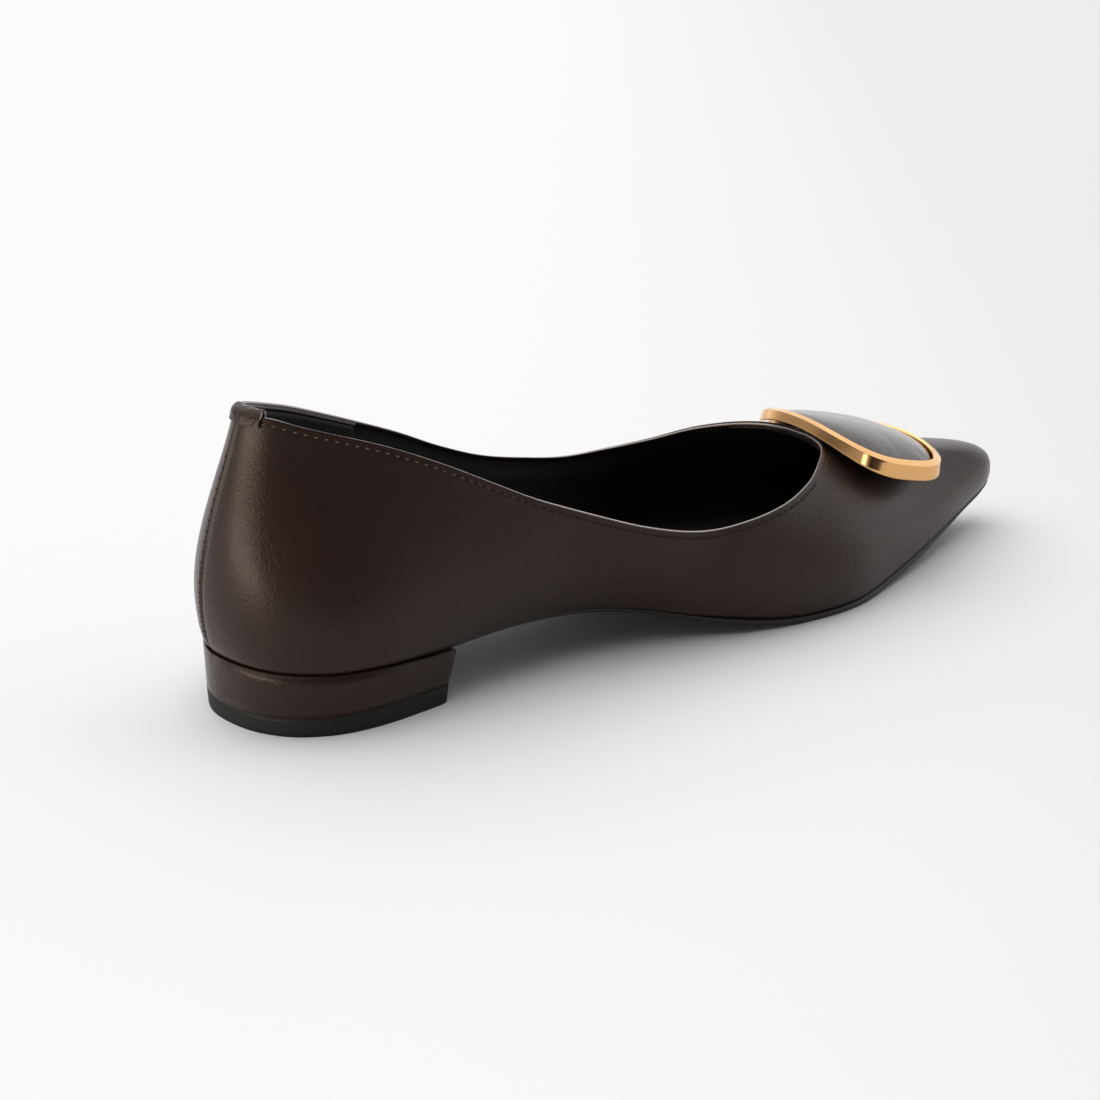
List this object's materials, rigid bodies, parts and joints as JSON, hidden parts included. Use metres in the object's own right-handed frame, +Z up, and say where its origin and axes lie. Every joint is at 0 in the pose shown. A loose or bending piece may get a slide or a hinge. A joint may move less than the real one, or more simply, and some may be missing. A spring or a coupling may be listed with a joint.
{
  "type": "pointed toe flat shoe",
  "caption": "Low-cut pointed toe flat in smooth leather, with a low wrapped heel, a heel tab and a rounded square ring buckle over the vamp.",
  "frame": {"origin": "about the middle of the top-lift's face on the floor, under the heel", "axes": "+X from the heel to the toe, +Y to the shoe's left, which is this left shoe's outer side, +Z up"},
  "size_m": [0.2519, 0.0779, 0.0762],
  "materials": {
    "upper_leather": "smooth dark brown box calf with a soft sheen",
    "sole_leather": "black stained sole",
    "sock_lining": "black lining leather",
    "heel_wrap": "heel wrapped in the upper's leather",
    "top_lift_rubber": "matt near-black rubber",
    "gold_plate": "polished pale gold plate",
    "panel_leather": "padded smooth dark brown leather"
  },
  "bodies": {
    "root": {"upper": "upper_leather", "outsole": "sole_leather", "insole": "sock_lining", "heel_block": "heel_wrap", "heel_top_lift": "top_lift_rubber", "heel_tab": "upper_leather", "buckle_frame": "gold_plate", "buckle_panel": "panel_leather"}
  },
  "joints": []
}
